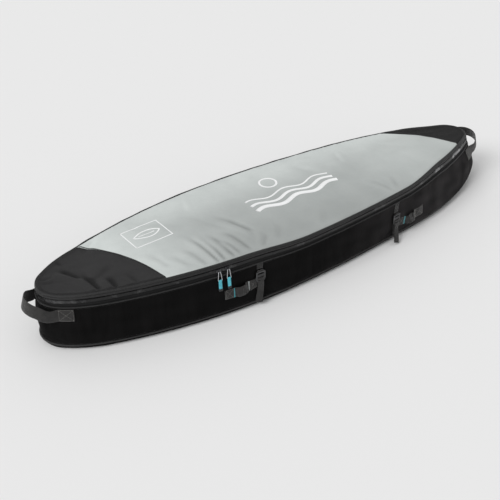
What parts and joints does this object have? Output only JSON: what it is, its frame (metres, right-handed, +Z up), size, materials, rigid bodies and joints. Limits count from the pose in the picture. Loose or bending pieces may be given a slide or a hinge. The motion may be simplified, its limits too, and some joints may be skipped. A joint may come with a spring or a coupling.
{
  "type": "board travel bag",
  "caption": "Long padded travel bag for boards, with a zip-round lid that folds open, compression straps, grab handles and a carry loop at each end.",
  "frame": {"origin": "on the floor under the middle of the bag", "axes": "+X from tail to nose, +Z up, -Y the side with the zip sliders"},
  "size_m": [2.1152, 0.534, 0.211],
  "materials": {
    "black_fabric": "coarse woven polyester, matte",
    "lid_fabric": "smooth light grey reflective woven fabric",
    "piping": "folded binding tape over a cord",
    "foam": "closed-cell foam sheet",
    "lining": "thin smooth woven lining",
    "webbing": "ribbed polyester webbing",
    "zip_tape": "woven zip tape",
    "zip_teeth": "glossy moulded zip teeth",
    "slider_metal": "dark painted die casting",
    "bright_wire": "plated steel wire",
    "teal_tab": "teal woven tape with stitching",
    "black_plastic": "moulded acetal"
  },
  "bodies": {
    "base": {"bottom_panel": "black_fabric", "bottom_foam": "foam", "bottom_lining": "lining", "bottom_piping": "piping", "tail_wall": "black_fabric", "front_wall": "black_fabric", "rear_wall": "black_fabric", "nose_wall": "black_fabric", "wall_foam": "foam", "wall_lining": "lining", "wall_seam_piping": "piping", "lower_zip_tape": "zip_tape", "lower_zip_teeth": "zip_teeth", "rear_piping": "piping", "rear_band": "black_fabric", "rear_lid_strip": "black_fabric", "front_grab_anchors": "webbing", "rear_grab_anchors": "webbing", "tail_loop_anchors": "webbing", "nose_loop_anchors": "webbing", "tail_tie_down": "webbing", "nose_tie_down": "webbing", "tail_tie_buckle": "black_plastic", "nose_tie_buckle": "black_plastic", "front_tail_strap_tab": "webbing", "front_tail_strap": "webbing", "front_nose_strap_tab": "webbing", "front_nose_strap": "webbing", "rear_tail_strap_tab": "webbing", "rear_tail_strap": "webbing", "rear_nose_strap_tab": "webbing", "rear_nose_strap": "webbing"},
    "lid": {"lid_centre_panel": "lid_fabric", "lid_tail_patch": "black_fabric", "lid_nose_patch": "black_fabric", "lid_foam": "foam", "lid_lining": "lining", "lid_piping": "piping", "upper_zip_tape": "zip_tape", "upper_zip_teeth": "zip_teeth"},
    "tail_slider": {"tail_slider": "slider_metal"},
    "tail_pull_wire": {"tail_pull_wire": "bright_wire"},
    "tail_pull_tab": {"tail_pull_tab": "teal_tab"},
    "nose_slider": {"nose_slider": "slider_metal"},
    "nose_pull_wire": {"nose_pull_wire": "bright_wire"},
    "nose_pull_tab": {"nose_pull_tab": "teal_tab"},
    "front_tail_ladder_lock": {"front_tail_ladder_lock": "black_plastic"},
    "front_tail_strap_end": {"front_tail_strap_end": "webbing"},
    "front_tail_grab_handle": {"front_tail_grab_handle": "webbing"},
    "front_nose_ladder_lock": {"front_nose_ladder_lock": "black_plastic"},
    "front_nose_strap_end": {"front_nose_strap_end": "webbing"},
    "front_nose_grab_handle": {"front_nose_grab_handle": "webbing"},
    "rear_tail_ladder_lock": {"rear_tail_ladder_lock": "black_plastic"},
    "rear_tail_strap_end": {"rear_tail_strap_end": "webbing"},
    "rear_tail_grab_handle": {"rear_tail_grab_handle": "webbing"},
    "rear_nose_ladder_lock": {"rear_nose_ladder_lock": "black_plastic"},
    "rear_nose_strap_end": {"rear_nose_strap_end": "webbing"},
    "rear_nose_grab_handle": {"rear_nose_grab_handle": "webbing"},
    "tail_loop": {"tail_loop": "webbing"},
    "nose_loop": {"nose_loop": "webbing"}
  },
  "joints": [
    {"name": "lid_fold", "type": "hinge", "parent": "base", "child": "lid", "pos_m": [0, 0.2, 0.2113], "axis": [-1, 0, 0], "range_deg": [0, 150]},
    {"name": "tail_slider_run", "type": "hinge", "parent": "base", "child": "tail_slider", "pos_m": [-0.15, 1.889, 0.188], "axis": [0, 0, -1], "range_deg": [0, 9.87]},
    {"name": "tail_pull_wire_swing", "type": "hinge", "parent": "tail_slider", "child": "tail_pull_wire", "pos_m": [-0.44048, -0.25239, 0.188], "axis": [-0.9909, 0.1344, 0], "range_deg": [0, 95]},
    {"name": "tail_pull_tab_swing", "type": "hinge", "parent": "tail_pull_wire", "child": "tail_pull_tab", "pos_m": [-0.44048, -0.25239, 0.154], "axis": [-0.9909, 0.1344, 0], "range_deg": [0, 80]},
    {"name": "nose_slider_run", "type": "hinge", "parent": "base", "child": "nose_slider", "pos_m": [-0.15, 1.889, 0.188], "axis": [0, 0, 1], "range_deg": [0, 1.88]},
    {"name": "nose_pull_wire_swing", "type": "hinge", "parent": "nose_slider", "child": "nose_pull_wire", "pos_m": [-0.40631, -0.25675, 0.188], "axis": [-0.9929, 0.1186, 0], "range_deg": [0, 95]},
    {"name": "nose_pull_tab_swing", "type": "hinge", "parent": "nose_pull_wire", "child": "nose_pull_tab", "pos_m": [-0.40631, -0.25675, 0.154], "axis": [-0.9929, 0.1186, 0], "range_deg": [0, 80]},
    {"name": "front_tail_ladder_lock_lift", "type": "hinge", "parent": "base", "child": "front_tail_ladder_lock", "pos_m": [-0.2782, -0.26058, 0.138], "axis": [-0.9982, 0.0595, 0], "range_deg": [0, 60]},
    {"name": "front_tail_strap_end_swing", "type": "hinge", "parent": "front_tail_ladder_lock", "child": "front_tail_strap_end", "pos_m": [-0.27848, -0.26517, 0.105], "axis": [-0.9982, 0.0595, 0], "range_deg": [0, 60]},
    {"name": "front_tail_grab_handle_tilt", "type": "hinge", "parent": "base", "child": "front_tail_grab_handle", "pos_m": [-0.354, -0.2513, 0.09], "axis": [-0.9955, 0.0949, 0], "range_deg": [-25, 25], "stiffness_Nm_per_rad": 0.1},
    {"name": "front_nose_ladder_lock_lift", "type": "hinge", "parent": "base", "child": "front_nose_ladder_lock", "pos_m": [0.40039, -0.23289, 0.114], "axis": [-0.9935, -0.1141, 0], "range_deg": [0, 60]},
    {"name": "front_nose_strap_end_swing", "type": "hinge", "parent": "front_nose_ladder_lock", "child": "front_nose_strap_end", "pos_m": [0.40091, -0.23747, 0.081], "axis": [-0.9935, -0.1141, 0], "range_deg": [0, 60]},
    {"name": "front_nose_grab_handle_tilt", "type": "hinge", "parent": "base", "child": "front_nose_grab_handle", "pos_m": [0.476, -0.22018, 0.072], "axis": [-0.9915, -0.1299, 0], "range_deg": [-25, 25], "stiffness_Nm_per_rad": 0.1},
    {"name": "rear_tail_ladder_lock_lift", "type": "hinge", "parent": "base", "child": "rear_tail_ladder_lock", "pos_m": [-0.2782, 0.26058, 0.138], "axis": [0.9982, 0.0595, 0], "range_deg": [0, 60]},
    {"name": "rear_tail_strap_end_swing", "type": "hinge", "parent": "rear_tail_ladder_lock", "child": "rear_tail_strap_end", "pos_m": [-0.27848, 0.26517, 0.105], "axis": [0.9982, 0.0595, 0], "range_deg": [0, 60]},
    {"name": "rear_tail_grab_handle_tilt", "type": "hinge", "parent": "base", "child": "rear_tail_grab_handle", "pos_m": [-0.354, 0.2513, 0.09], "axis": [0.9955, 0.0949, 0], "range_deg": [-25, 25], "stiffness_Nm_per_rad": 0.1},
    {"name": "rear_nose_ladder_lock_lift", "type": "hinge", "parent": "base", "child": "rear_nose_ladder_lock", "pos_m": [0.40039, 0.23289, 0.114], "axis": [0.9935, -0.1141, 0], "range_deg": [0, 60]},
    {"name": "rear_nose_strap_end_swing", "type": "hinge", "parent": "rear_nose_ladder_lock", "child": "rear_nose_strap_end", "pos_m": [0.40091, 0.23747, 0.081], "axis": [0.9935, -0.1141, 0], "range_deg": [0, 60]},
    {"name": "rear_nose_grab_handle_tilt", "type": "hinge", "parent": "base", "child": "rear_nose_grab_handle", "pos_m": [0.476, 0.22018, 0.072], "axis": [0.9915, -0.1299, 0], "range_deg": [-25, 25], "stiffness_Nm_per_rad": 0.1},
    {"name": "tail_loop_tilt", "type": "hinge", "parent": "base", "child": "tail_loop", "pos_m": [-0.966, 0, 0.1405], "axis": [0, 1, 0], "range_deg": [-12, 8], "stiffness_Nm_per_rad": 0.4},
    {"name": "nose_loop_tilt", "type": "hinge", "parent": "base", "child": "nose_loop", "pos_m": [0.966, 0, 0.1405], "axis": [0, -1, 0], "range_deg": [-12, 8], "stiffness_Nm_per_rad": 0.4}
  ]
}
